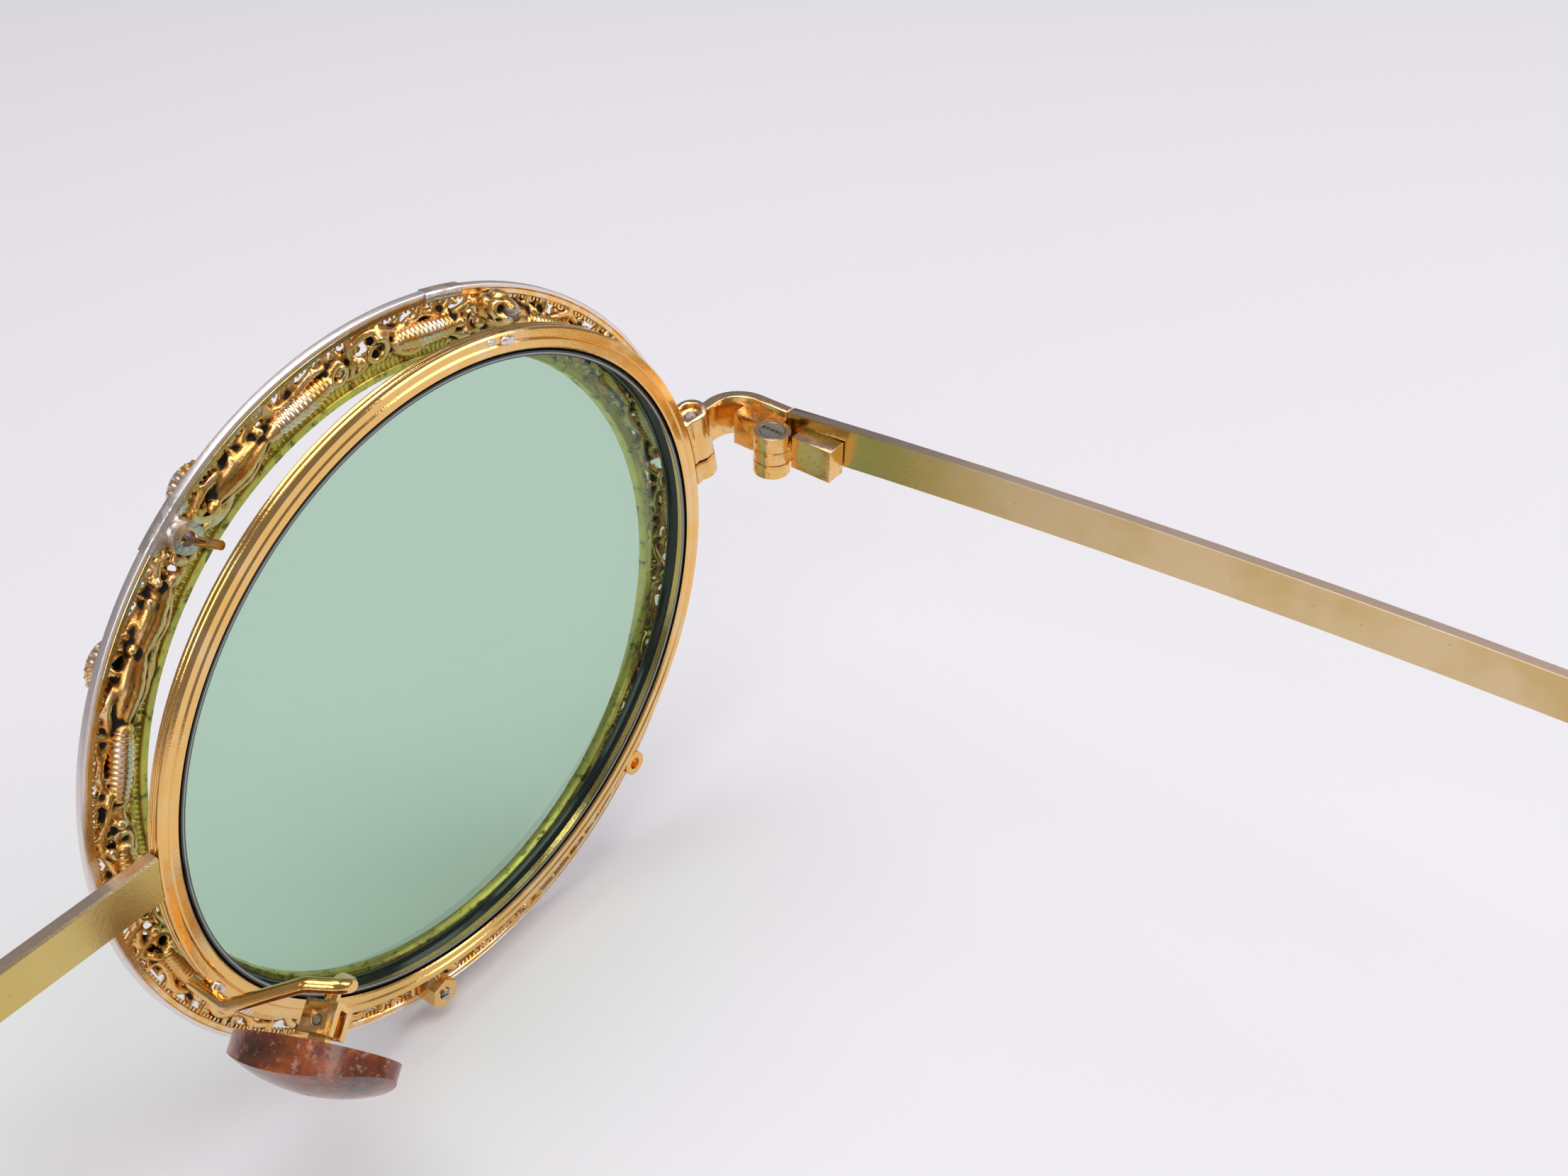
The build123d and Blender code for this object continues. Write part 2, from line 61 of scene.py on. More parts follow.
class Wire:
    # a socket that can be added, multiplied and so on
    def __init__(self, paint, socket):
        self.paint, self.socket = paint, socket

    def maths(self, operation, first, second):
        return self.paint.node("ShaderNodeMath", {"operation": operation}, {0: first, 1: second})

    def __add__(self, other):
        return self.maths("ADD", self, other)

    def __sub__(self, other):
        return self.maths("SUBTRACT", self, other)

    def __rsub__(self, other):
        return self.maths("SUBTRACT", other, self)

    def __mul__(self, other):
        return self.maths("MULTIPLY", self, other)

    __radd__ = __add__
    __rmul__ = __mul__

    def step(self, low, high):
        # 0 below low, 1 above high, smooth between
        return self.paint.node("ShaderNodeMapRange", {"interpolation_type": "SMOOTHSTEP"},
                               {0: self, 1: low, 2: high})


class Paint:
    # one material; scales are in features per millimetre
    def __init__(self, name):
        self.material = bpy.data.materials.new(name)
        self.material.use_nodes = True
        self.tree = self.material.node_tree
        self.tree.nodes.clear()
        self.place = self.node("ShaderNodeTexCoord", out="Object")

    def node(self, kind, settings=None, inputs=None, out=0):
        made = self.tree.nodes.new(kind)
        for key, value in (settings or {}).items():
            if key == "stops":
                ramp = made.color_ramp
                while len(ramp.elements) < len(value):
                    ramp.elements.new(0.5)
                for element, (spot, colour) in zip(ramp.elements, value):
                    element.position, element.color = spot, (*colour, 1)
            else:
                setattr(made, key, value)
        for key, value in (inputs or {}).items():
            if isinstance(value, Wire):
                self.tree.links.new(value.socket, made.inputs[key])
            elif value is not None:
                made.inputs[key].default_value = value
        return Wire(self, made.outputs[out])

    def stretched(self, sizes, turn=(0, 0, 0)):
        return self.node("ShaderNodeMapping", {"vector_type": "POINT"},
                         {"Vector": self.place, "Scale": sizes, "Rotation": turn})

    def noise(self, perMm, detail=3.0, rough=0.55, place=None, twist=0.0):
        values = {"Vector": place or self.place, "Scale": perMm / mm, "Detail": detail, "Roughness": rough,
                  "Distortion": twist}
        return self.node("ShaderNodeTexNoise", {}, values)

    def cells(self, perMm):
        return self.node("ShaderNodeTexVoronoi", {}, {"Vector": self.place, "Scale": perMm / mm})

    def mix(self, share, first, second):
        values = {0: share}
        for key, colour in ((6, first), (7, second)):
            values[key] = colour if isinstance(colour, Wire) else (*colour, 1)
        return self.node("ShaderNodeMix", {"data_type": "RGBA"}, values, out=2)

    def ramp(self, share, *stops):
        return self.node("ShaderNodeValToRGB", {"stops": stops}, {0: share})

    def attribute(self, name):
        return self.node("ShaderNodeAttribute", {"attribute_name": name}, out="Fac")

    def axis(self, letter):
        return self.node("ShaderNodeSeparateXYZ", {}, {0: self.place}, out=letter)

    def upward(self):
        normal = self.node("ShaderNodeTexCoord", out="Normal")
        return self.node("ShaderNodeSeparateXYZ", {}, {0: normal}, out="Z")

    def bump(self, height, depthMm):
        return self.node("ShaderNodeBump", {}, {"Height": height, "Distance": depthMm * mm, "Strength": 1.0})

    def surface(self, colour, roughness, normal=None, metallic=0.0, **plain):
        values = {"Base Color": colour if isinstance(colour, Wire) else (*colour, 1),
                  "Roughness": roughness, "Metallic": metallic, "Normal": normal}
        values.update({key.replace("_", " "): value for key, value in plain.items()})
        return self.node("ShaderNodeBsdfPrincipled", {}, values)

    def done(self, shader):
        output = self.tree.nodes.new("ShaderNodeOutputMaterial")
        self.tree.links.new(shader.socket, output.inputs["Surface"])
        return self.material


tones = {
    "gold": (0.86, 0.52, 0.17),
    "paleGold": (0.84, 0.66, 0.42),
    "deepGold": (0.62, 0.30, 0.06),
    "brown": (0.16, 0.07, 0.02),
    # near black, the painted shade in the casting's hollows
    "paintedShade": (0.012, 0.009, 0.007),
    "silver": (0.88, 0.81, 0.78),
    "rose": (0.80, 0.62, 0.52),
    "steel": (0.46, 0.45, 0.44),
}


def polishedGold():
    p = Paint("polishedGold")
    rubbed = p.noise(0.35, 4.0).step(0.45, 0.70)
    grime = p.noise(2.2, 6.0, 0.7).step(0.60, 0.74)
    scratches = p.noise(9.0, 2.0, 0.5, p.stretched((1, 0.15, 1), (0.3, 0.2, 0.5)))
    colour = p.mix(rubbed * 0.45, tones["gold"], tones["paleGold"])
    colour = p.mix(grime * 0.55, colour, tones["deepGold"])
    rough = 0.13 + rubbed * 0.10 + grime * 0.18
    normal = p.bump(scratches + p.noise(0.9, 2.0) * 1.5, 0.008)
    return p.done(p.surface(colour, rough, normal, 1.0))


def hardwareGold():
    p = Paint("hardwareGold")
    rubbed = p.noise(0.8, 5.0).step(0.48, 0.72)
    grime = p.noise(3.2, 7.0, 0.72).step(0.56, 0.70)
    # painted reflection: upward faces tinted pale rose as if lit from overhead
    paintedTopSheen = p.upward().step(0.75, 0.97)
    colour = p.mix(rubbed * 0.5, tones["gold"], tones["paleGold"])
    colour = p.mix(paintedTopSheen * 0.55, colour, tones["rose"])
    colour = p.mix(grime * 0.7, colour, tones["brown"])
    rough = 0.17 + rubbed * 0.12 + grime * 0.30
    normal = p.bump(p.noise(5.0, 4.0) + p.noise(0.8, 2.0) * 2.0, 0.010)
    return p.done(p.surface(colour, rough, normal, 1.0))


def satinGold():
    # brushed along the temple; olive and mirror-like near the hinge, tan further back, with a painted rose
    # reflection on upward faces
    p = Paint("satinGold")
    along = p.axis("Y") * (1 / mm) - rearY / mm
    nearHinge = 1.0 - along.step(9.0, 26.0)
    grain = p.noise(7.0, 4.0, 0.65, p.stretched((1, 0.03, 1)))
    cloud = p.noise(0.12, 3.0)
    specks = p.cells(1.4).step(0.10, 0.04) * p.noise(0.5).step(0.52, 0.60)
    # painted reflection: upward faces tinted pale rose as if lit from overhead
    paintedTopSheen = p.upward().step(0.55, 0.9)
    colour = p.mix(cloud.step(0.35, 0.65), (0.66, 0.47, 0.20), (0.74, 0.56, 0.32))
    colour = p.mix(nearHinge * 0.75, colour, (0.60, 0.47, 0.14))
    colour = p.mix(paintedTopSheen * 0.85, colour, tones["rose"])
    colour = p.mix(specks * 0.6, colour, tones["brown"])
    rough = 0.36 - nearHinge * 0.20 + grain * 0.10 + specks * 0.2
    normal = p.bump(grain + p.noise(0.25, 2.0) * 2.5, 0.007)
    return p.done(p.surface(colour, rough, normal, 1.0))


def wornChamfer():
    # the dark, worn edge line of the temple strip
    p = Paint("wornChamfer")
    wear = p.noise(1.2, 4.0, 0.6, p.stretched((1, 0.2, 1))).step(0.35, 0.62)
    colour = p.mix(wear, (0.22, 0.17, 0.17), tones["rose"])
    return p.done(p.surface(colour, 0.30, p.bump(p.noise(6.0), 0.006), 1.0))


def castGold(name="castGold", silver=0.0):
    # gilded casting: bright on the crests, with painted shade in the hollows, brown then black
    p = Paint(name)
    hollow = p.attribute("hollow")
    # painted shade: near black deep in the hollows, also rougher and less metallic there
    paintedShade = (hollow + (p.noise(1.6, 4.0) - 0.5) * 0.5).step(0.42, 0.66)
    # painted shade: deep gold towards the hollows
    paintedBrownShade = (hollow + (p.noise(0.9, 4.0) - 0.5) * 0.5).step(0.22, 0.55)
    crest = (1.0 - hollow).step(0.62, 0.86) * p.noise(0.45, 3.0).step(0.42, 0.60)
    colour = p.mix(paintedBrownShade, tones["gold"], tones["deepGold"])
    colour = p.mix(crest * (0.55 + silver), colour, tones["silver"] if silver else tones["paleGold"])
    colour = p.mix(paintedShade, colour, tones["paintedShade"])
    rough = 0.17 + paintedShade * 0.45 + p.noise(1.5) * 0.14
    lumps = p.noise(3.0, 5.0, 0.6) + p.noise(11.0, 2.0) * 0.25
    return p.done(p.surface(colour, rough, p.bump(lumps, 0.035), 1.0 - paintedShade * 0.6))


def wornSilver():
    # outer wall: gold plating rubbed to pinkish silver outside, gold left inside and on the temple side
    p = Paint("wornSilver")
    outside = p.attribute("ringRadius").step(27.98, 28.16)
    aside = 1.0 - p.attribute("ringNasal").step(-16.0, -2.0)
    rubbed = (outside * 1.25 - aside * 0.55 + (p.noise(0.5, 4.0) - 0.5) * 0.8).step(0.30, 0.62)
    grime = p.noise(2.6, 6.0, 0.7).step(0.60, 0.74)
    gilt = p.mix(p.noise(0.8, 3.0).step(0.4, 0.6), tones["gold"], tones["paleGold"])
    colour = p.mix(rubbed, gilt, tones["silver"])
    colour = p.mix(grime * (1.0 - rubbed * 0.7) * 0.7, colour, tones["brown"])
    rough = 0.22 + rubbed * 0.16 + grime * 0.2
    return p.done(p.surface(colour, rough, p.bump(p.noise(2.0, 5.0), 0.02), 1.0))


def oliveGold():
    # the inner band: plating seen in shade, yellow-olive with dark stains
    p = Paint("oliveGold")
    stain = p.noise(1.1, 5.0, 0.65).step(0.50, 0.66)
    colour = p.mix(p.noise(0.3, 2.0).step(0.35, 0.65), (0.90, 0.72, 0.16), (0.70, 0.56, 0.15))
    colour = p.mix(stain * 0.8, colour, (0.10, 0.08, 0.03))
    return p.done(p.surface(colour, 0.38 + stain * 0.3, p.bump(p.noise(1.5, 3.0), 0.015), 0.75))


def solderMetal():
    p = Paint("solderMetal")
    dull = p.noise(1.4, 5.0).step(0.4, 0.65)
    colour = p.mix(dull, (0.84, 0.77, 0.73), (0.60, 0.50, 0.42))
    return p.done(p.surface(colour, 0.24 + dull * 0.25, p.bump(p.noise(1.8, 4.0), 0.05), 1.0))


def mottledSteel():
    p = Paint("mottledSteel")
    stain = p.noise(3.0, 6.0, 0.7).step(0.42, 0.66)
    colour = p.mix(stain, (0.62, 0.61, 0.59), (0.20, 0.18, 0.16))
    return p.done(p.surface(colour, 0.22 + stain * 0.30, p.bump(p.noise(4.0, 4.0), 0.03), 1.0))


def tintedGlass():
    # pale green tint, with a painted dark border of shade round the edge and a painted grey highlight line in
    # it, radii in millimetres
    p = Paint("tintedGlass")
    place = p.node("ShaderNodeVectorMath", {"operation": "ABSOLUTE"}, {0: p.place})
    offset = p.node("ShaderNodeVectorMath", {"operation": "SUBTRACT"},
                    {0: place, 1: (abs(eyeCentre.x), 0, eyeCentre.z)})
    flat = p.node("ShaderNodeVectorMath", {"operation": "MULTIPLY"}, {0: offset, 1: (1, 0, 1)})
    radius = p.node("ShaderNodeVectorMath", {"operation": "LENGTH"}, {0: flat}, out="Value") * (1 / mm)
    # painted shade: the border of the lens goes dark
    edge = radius.step(23.93, 24.02)
    # painted highlight: a thin grey line inside the dark border
    line = radius.step(24.02, 24.08) * (1.0 - radius.step(24.14, 24.20))
    tint = p.mix(p.noise(0.02, 1.0), (0.705, 0.835, 0.745), (0.725, 0.850, 0.760))
    clear = p.node("ShaderNodeBsdfTransparent", {}, {0: tint})
    gloss = p.node("ShaderNodeBsdfGlossy", {}, {"Color": (1, 1, 1, 1), "Roughness": 0.02})
    sheen = p.node("ShaderNodeFresnel", {}, {"IOR": 1.3}) * 0.15
    pane = p.node("ShaderNodeMixShader", {}, {0: sheen, 1: clear, 2: gloss})
    # the painted border: an opaque near-black surface carrying the grey highlight line
    paintedRim = p.surface(p.mix(line, (0.010, 0.014, 0.014), (0.30, 0.33, 0.32)), 0.12)
    return p.done(p.node("ShaderNodeMixShader", {}, {0: edge, 1: pane, 2: paintedRim}))


def tortoiseshell():
    p = Paint("tortoiseshell")
    drift = p.noise(0.10, 3.0, 0.5, None, 1.2)
    fine = p.noise(0.45, 5.0, 0.6, None, 0.8)
    blend = drift * 0.7 + fine * 0.3
    colour = p.ramp(blend, (0.36, (0.035, 0.012, 0.006)), (0.45, (0.16, 0.035, 0.012)),
                    (0.53, (0.42, 0.10, 0.018)), (0.62, (0.72, 0.27, 0.05)))
    # pale beige patches: partly frosted wear, partly a painted sheen of the white floor; also rougher
    wearAndSheen = p.noise(1.4, 5.0, 0.7).step(0.52, 0.68)
    colour = p.mix(wearAndSheen * 0.28, colour, (0.70, 0.55, 0.42))
    normal = p.bump(p.noise(2.5, 4.0), 0.02)
    return p.done(p.surface(colour, 0.20 + wearAndSheen * 0.3, normal, Coat_Weight=0.4, Coat_Roughness=0.12))


def greenStone():
    p = Paint("greenStone")
    veins = p.noise(0.5, 4.0, 0.5, None, 1.5)
    colour = p.mix(veins.step(0.4, 0.65), (0.010, 0.20, 0.13), (0.05, 0.36, 0.24))
    return p.done(p.surface(colour, 0.07, None, Coat_Weight=0.8, Coat_Roughness=0.03))


looks = {
    "polished": polishedGold(), "hardware": hardwareGold(), "satin": satinGold(), "chamfer": wornChamfer(),
    "cast": castGold(), "castSilver": castGold("castSilver", 0.08), "silver": wornSilver(),
    "olive": oliveGold(), "solder": solderMetal(), "steel": mottledSteel(), "glass": tintedGlass(),
    "shell": tortoiseshell(), "stone": greenStone(),
}
report("materials made")


def placed(mesh, name, look, body, replaced=()):
    # a finished mesh becomes a piece riding on a body
    piece = bpy.data.objects.new(name, mesh)
    bpy.context.scene.collection.objects.link(piece)
    if look is not None:
        mesh.materials.clear()
        for entry in (look if isinstance(look, (list, tuple)) else [look]):
            mesh.materials.append(looks[entry])
    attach(piece, body)
    if replaced:
        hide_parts(*replaced)
    return piece


def plain(obj, name):
    # modifiers or Geometry Nodes turned into a plain mesh
    bpy.context.view_layer.update()
    graph = bpy.context.evaluated_depsgraph_get()
    mesh = bpy.data.meshes.new_from_object(obj.evaluated_get(graph), preserve_all_data_layers=True,
                                           depsgraph=graph)
    mesh.name = name
    bpy.data.objects.remove(obj)
    return mesh


def loose(mesh, name="work"):
    obj = bpy.data.objects.new(name, mesh)
    bpy.context.scene.collection.objects.link(obj)
    return obj


def meshOf(bm, name):
    mesh = bpy.data.meshes.new(name)
    bm.to_mesh(mesh)
    bm.free()
    return mesh


def crease(mesh, degrees=35):
    mesh.polygons.foreach_set("use_smooth", [True] * len(mesh.polygons))
    mesh.set_sharp_from_angle(angle=math.radians(degrees))
    return mesh


def mirrored(mesh):
    twin = mesh.copy()
    bm = bmesh.new()
    bm.from_mesh(twin)
    bmesh.ops.transform(bm, matrix=Matrix.Scale(-1, 4, (1, 0, 0)), verts=bm.verts)
    bmesh.ops.reverse_faces(bm, faces=bm.faces)
    bm.to_mesh(twin)
    bm.free()
    return twin


def pair(mesh, name, look, body, replaced=()):
    # the right-hand piece and its mirror image; {} stands for the side
    for side in sides:
        shape = mesh if side == "right" else mirrored(mesh)
        shape.name = name + side.capitalize()
        placed(shape, name + side.capitalize(), look, body.format(side),
               [node.format(side) for node in replaced])


def softened(node, name, look, body, slot, width, steps, edgeLook, angle):
    # a copy of a CAD piece with its edges broken
    bm = bmesh.new()
    bm.from_mesh(nodes[node].data)
    bmesh.ops.remove_doubles(bm, verts=bm.verts, dist=1e-6)
    bmesh.ops.dissolve_limit(bm, angle_limit=math.radians(0.5), verts=bm.verts, edges=bm.edges)
    obj = loose(meshOf(bm, name))
    bevel = obj.modifiers.new("edges", "BEVEL")
    bevel.width, bevel.segments = width * mm, steps
    bevel.limit_method, bevel.angle_limit = "ANGLE", math.radians(angle)
    bevel.use_clamp_overlap = True
    obj.data.materials.clear()
    if edgeLook:
        obj.data.materials.append(looks[look])
        obj.data.materials.append(looks[edgeLook])
        bevel.material = 1
    mesh = crease(plain(obj, name), 40)
    return placed(mesh, name, [look, edgeLook] if edgeLook else look, body, [node])


def hollows(mesh, rounds=10, reach=0.05):
    # how deep each point sits, 0 on crests and 1 in hollows, kept as an attribute that drives painted shade
    # in the cast finishes
    count = len(mesh.vertices)
    places = np.empty(count * 3)
    mesh.vertices.foreach_get("co", places)
    places = places.reshape(-1, 3)
    normals = np.empty(count * 3)
    mesh.vertices.foreach_get("normal", normals)
    normals = normals.reshape(-1, 3)
    edges = np.empty(len(mesh.edges) * 2, dtype=int)
    mesh.edges.foreach_get("vertices", edges)
    edges = edges.reshape(-1, 2)
    valence = np.bincount(edges.ravel(), minlength=count).clip(1)[:, None]
    eased = places.copy()
    for _ in range(rounds):
        total = np.zeros_like(eased)
        np.add.at(total, edges[:, 0], eased[edges[:, 1]])
        np.add.at(total, edges[:, 1], eased[edges[:, 0]])
        eased = total / valence
    depth = ((eased - places) * normals).sum(1) / (reach * mm)
    share = np.clip(0.5 + 0.5 * depth, 0, 1)
    layer = mesh.attributes.get("hollow") or mesh.attributes.new("hollow", "FLOAT", "POINT")
    layer.data.foreach_set("value", share.astype(np.float32))


# ring coordinates: nasal, up and forwards in millimetres, about the leaning ring's own axis
lean = {"nasal": 0.017, "up": 0.076, "drop": 0.8}
ringAxis = -Vector((lean["nasal"], 1, lean["up"])).normalized()
ringSide = Vector((1, -lean["nasal"], 0)).normalized()
ringPlace = Matrix((ringSide, ringAxis.cross(ringSide), ringAxis)).transposed().to_4x4()
ringPlace.translation = Vector((eyeCentre.x, rearY, eyeCentre.z - lean["drop"] * mm))
eyePlace = Matrix.Rotation(math.pi / 2, 4, "X")
eyePlace.translation = Vector((eyeCentre.x, rearY, eyeCentre.z))


def polar(radius, degrees, forward=0.0):
    turn = math.radians(degrees)
    return Vector((radius * math.cos(turn), radius * math.sin(turn), forward))


def lathed(profile, steps, start=0.0, sweep=360.0):
    # a ring of a closed profile of (radius, forwards) points, in ring millimetres
    bm = bmesh.new()
    whole = sweep >= 360
    rings = []
    for i in range(steps if whole else steps + 1):
        angle = start + sweep * i / steps
        rings.append([bm.verts.new(polar(r, angle, d)) for r, d in profile])
    size = len(profile)
    for i in range(steps):
        here, there = rings[i], rings[(i + 1) % len(rings)]
        for k in range(size):
            bm.faces.new((here[k], here[(k + 1) % size], there[(k + 1) % size], there[k]))
    if not whole:
        bm.faces.new(rings[0][::-1])
        bm.faces.new(rings[-1])
    bmesh.ops.recalc_face_normals(bm, faces=bm.faces)
    return bm


def tube(bm, points, radii, facets=8):
    # a closed round-ended tube along points, in ring millimetres
    points = [Vector(q) for q in points]
    count = len(points)
    radii = radii if isinstance(radii, (list, tuple)) else [radii] * count
    loops = []
    side = None
    for i, point in enumerate(points):
        run = (points[min(i + 1, count - 1)] - points[max(i - 1, 0)]).normalized()
        if side is None:
            side = run.orthogonal().normalized()
        side = (side - run * side.dot(run)).normalized()
        across = run.cross(side)
        loops.append([bm.verts.new(point + (side * math.cos(2 * math.pi * k / facets)
                                            + across * math.sin(2 * math.pi * k / facets)) * radii[i])
                      for k in range(facets)])
    for here, there in zip(loops, loops[1:]):
        for k in range(facets):
            bm.faces.new((here[k], here[(k + 1) % facets], there[(k + 1) % facets], there[k]))
    for loop, point, other in ((loops[0], points[0], points[1]), (loops[-1], points[-1], points[-2])):
        radius = (loop[0].co - point).length
        tip = bm.verts.new(point + (point - other).normalized() * radius * 0.7)
        for k in range(facets):
            bm.faces.new((loop[k], loop[(k + 1) % facets], tip))
    return bm


def ball(bm, place, radius, fine=2, stretch=(1, 1, 1), turn=None):
    made = bmesh.ops.create_icosphere(bm, subdivisions=fine, radius=radius)["verts"]
    matrix = Matrix.Translation(place) @ (turn or Matrix.Identity(4)) @ Matrix.Diagonal((*stretch, 1))
    bmesh.ops.transform(bm, matrix=matrix, verts=made)


class Tree:
    # a Geometry Nodes tree with named inputs
    def __init__(self, name):
        self.group = bpy.data.node_groups.new(name, "GeometryNodeTree")
        self.group.interface.new_socket("Geometry", in_out="OUTPUT", socket_type="NodeSocketGeometry")
        self.keys = {}

    def ask(self, name, kind, default=None):
        socket = self.group.interface.new_socket(name, in_out="INPUT", socket_type="NodeSocket" + kind)
        if default is not None:
            socket.default_value = default
        self.keys[name] = socket.identifier
        return name

    def start(self):
        self.entry = self.group.nodes.new("NodeGroupInput")

    def node(self, kind, settings=None, inputs=None, out=0):
        made = self.group.nodes.new(kind)
        for key, value in (settings or {}).items():
            setattr(made, key, value)
        for key, value in (inputs or {}).items():
            if isinstance(value, str) and value in self.keys:
                self.group.links.new(self.entry.outputs[value], made.inputs[key])
            elif isinstance(value, bpy.types.NodeSocket):
                self.group.links.new(value, made.inputs[key])
            else:
                made.inputs[key].default_value = value
        return made.outputs[out]

    def maths(self, operation, first, second=None):
        values = {0: first}
        if second is not None:
            values[1] = second
        return self.node("ShaderNodeMath", {"operation": operation}, values)

    def close(self, geometry):
        last = self.group.nodes.new("NodeGroupOutput")
        self.group.links.new(geometry, last.inputs[0])


def roundTheRing():
    # copies of an item at even angles on a circle, each turned to face outwards
    t = Tree("roundTheRing")
    t.ask("Item", "Object")
    t.ask("Finish", "Material")
    t.ask("Count", "Int", 60)
    t.ask("Radius", "Float", 28.0)
    t.ask("Forward", "Float", 3.0)
    t.ask("Start", "Float", 0.0)
    t.ask("Sweep", "Float", 360.0)
    t.ask("Wobble", "Float", 0.0)
    t.ask("Seed", "Int", 1)
    t.start()
    line = t.node("GeometryNodeMeshLine", {"mode": "OFFSET"}, {"Count": "Count", "Offset": (0, 0, 0)})
    index = t.node("GeometryNodeInputIndex")
    turn = t.maths("DIVIDE", t.maths("MULTIPLY", index, "Sweep"), "Count")
    turn = t.maths("RADIANS", t.maths("ADD", turn, "Start"))
    stray = t.node("FunctionNodeRandomValue", {"data_type": "FLOAT"},
                   {2: -1.0, 3: 1.0, "Seed": "Seed"}, out=1)
    radius = t.maths("ADD", "Radius", t.maths("MULTIPLY", stray, t.maths("MULTIPLY", "Wobble", 0.15)))
    spot = t.node("ShaderNodeCombineXYZ", {}, {0: t.maths("MULTIPLY", radius, t.maths("COSINE", turn)),
                                               1: t.maths("MULTIPLY", radius, t.maths("SINE", turn)),
                                               2: "Forward"})
    points = t.node("GeometryNodeSetPosition", {}, {"Geometry": line, "Position": spot})
    item = t.node("GeometryNodeObjectInfo", {"transform_space": "ORIGINAL"}, {"Object": "Item"},
                  out="Geometry")
    angles = t.node("ShaderNodeCombineXYZ", {}, {2: turn})
    grow = t.maths("ADD", 1.0, t.maths("MULTIPLY", stray, "Wobble"))
    size = t.node("ShaderNodeCombineXYZ", {}, {0: grow, 1: grow, 2: grow})
    copies = t.node("GeometryNodeInstanceOnPoints", {},
                    {"Points": points, "Instance": item, "Rotation": angles, "Scale": size})
    real = t.node("GeometryNodeRealizeInstances", {}, {"Geometry": copies})
    t.close(t.node("GeometryNodeSetMaterial", {}, {"Geometry": real, "Material": "Finish"}))
    return t


ringTree = roundTheRing()


def repeated(item, look, count, radius, forward, start=0.0, sweep=360.0, wobble=0.0, seed=1):
    # a bmesh item repeated round the ring, as a plain mesh in ring millimetres
    source = loose(meshOf(item, "item"))
    carrier = loose(bpy.data.meshes.new("carrier"))
    modifier = carrier.modifiers.new("round", "NODES")
    modifier.node_group = ringTree.group
    for key, value in {"Item": source, "Finish": looks[look], "Count": count, "Radius": float(radius),
                       "Forward": float(forward), "Start": float(start), "Sweep": float(sweep),
                       "Wobble": float(wobble), "Seed": seed}.items():
        modifier[ringTree.keys[key]] = value
    mesh = plain(carrier, "repeated")
    bpy.data.objects.remove(source)
    return mesh


def gathered(parts, place=ringPlace, smooth=40):
    # several meshes in ring millimetres joined into one in the frame
    bm = bmesh.new()
    for part in parts:
        if isinstance(part, bmesh.types.BMesh):
            part = meshOf(part, "part")
        bm.from_mesh(part)
    bmesh.ops.transform(bm, matrix=place @ Matrix.Scale(mm, 4), verts=bm.verts)
    return crease(meshOf(bm, "gathered"), smooth)


def ringMarks(mesh):
    # how far out and how far towards the nose each point of the ring is, in millimetres
    places = np.empty(len(mesh.vertices) * 3)
    mesh.vertices.foreach_get("co", places)
    turned = np.array(ringPlace.inverted())
    local = (places.reshape(-1, 3) @ turned[:3, :3].T + turned[:3, 3]) / mm
    for name, values in (("ringRadius", np.hypot(local[:, 0], local[:, 1])), ("ringNasal", local[:, 0])):
        layer = mesh.attributes.new(name, "FLOAT", "POINT")
        layer.data.foreach_set("value", values.astype(np.float32))
    return mesh


wall = {"inner": 27.6, "outer": 28.34, "rear": 3.36, "front": 4.03, "lip": 0.08, "groove": 28.02,
        "grooveDepth": 0.07, "steps": 260, "teeth": 440, "toothSize": (0.30, 0.20, 0.45),
        "toothEdge": 0.05, "toothIn": 0.08, "toothForward": 0.42, "beads": 300, "beadRadius": 0.2,
        "beadOut": 0.32}


def outerWall():
    r0, r1, d0, d1, e = wall["inner"], wall["outer"], wall["rear"], wall["front"], wall["lip"]
    g, deep = wall["groove"], wall["grooveDepth"]
    profile = [(r0, d0 + e), (r0, d1 - e), (r0 + e, d1), (r1 - e, d1), (r1, d1 - e), (r1, d0 + e),
               (r1 - 0.6 * e, d0 + 0.2 * e), (r1 - 1.2 * e, d0), (g + 0.05, d0), (g, d0 + deep),
               (g - 0.05, d0), (r0 + e, d0)]
    ring = lathed(profile, wall["steps"])
    tooth = bmesh.new()
    bmesh.ops.create_cube(tooth, size=1.0)
    bmesh.ops.scale(tooth, vec=wall["toothSize"], verts=tooth.verts)
    upright = [edge for edge in tooth.edges if abs((edge.verts[0].co - edge.verts[1].co).z) > 0.1]
    bmesh.ops.bevel(tooth, geom=upright, offset=wall["toothEdge"], segments=1, affect="EDGES")
    inner = repeated(tooth, "silver", wall["teeth"], r0 - wall["toothIn"], d0 + wall["toothForward"],
                     0, 360, 0.08, 3)
    bead = bmesh.new()
    bmesh.ops.create_icosphere(bead, subdivisions=1, radius=wall["beadRadius"])
    front = repeated(bead, "silver", wall["beads"], r0 + wall["beadOut"], d1, 0, 360, 0.05, 5)
    return ringMarks(gathered([ring, inner, front]))


band = {"inner": 23.42, "outer": 23.95, "rear": 3.92, "front": 4.83, "steps": 220, "ledge": 24.6,
        "ledgeRear": 4.08, "ledgeDepth": 0.33, "teeth": 390, "toothSize": (0.55, 0.22, 0.30),
        "toothEdge": 0.06, "beads": 260, "beadRadius": 0.23}


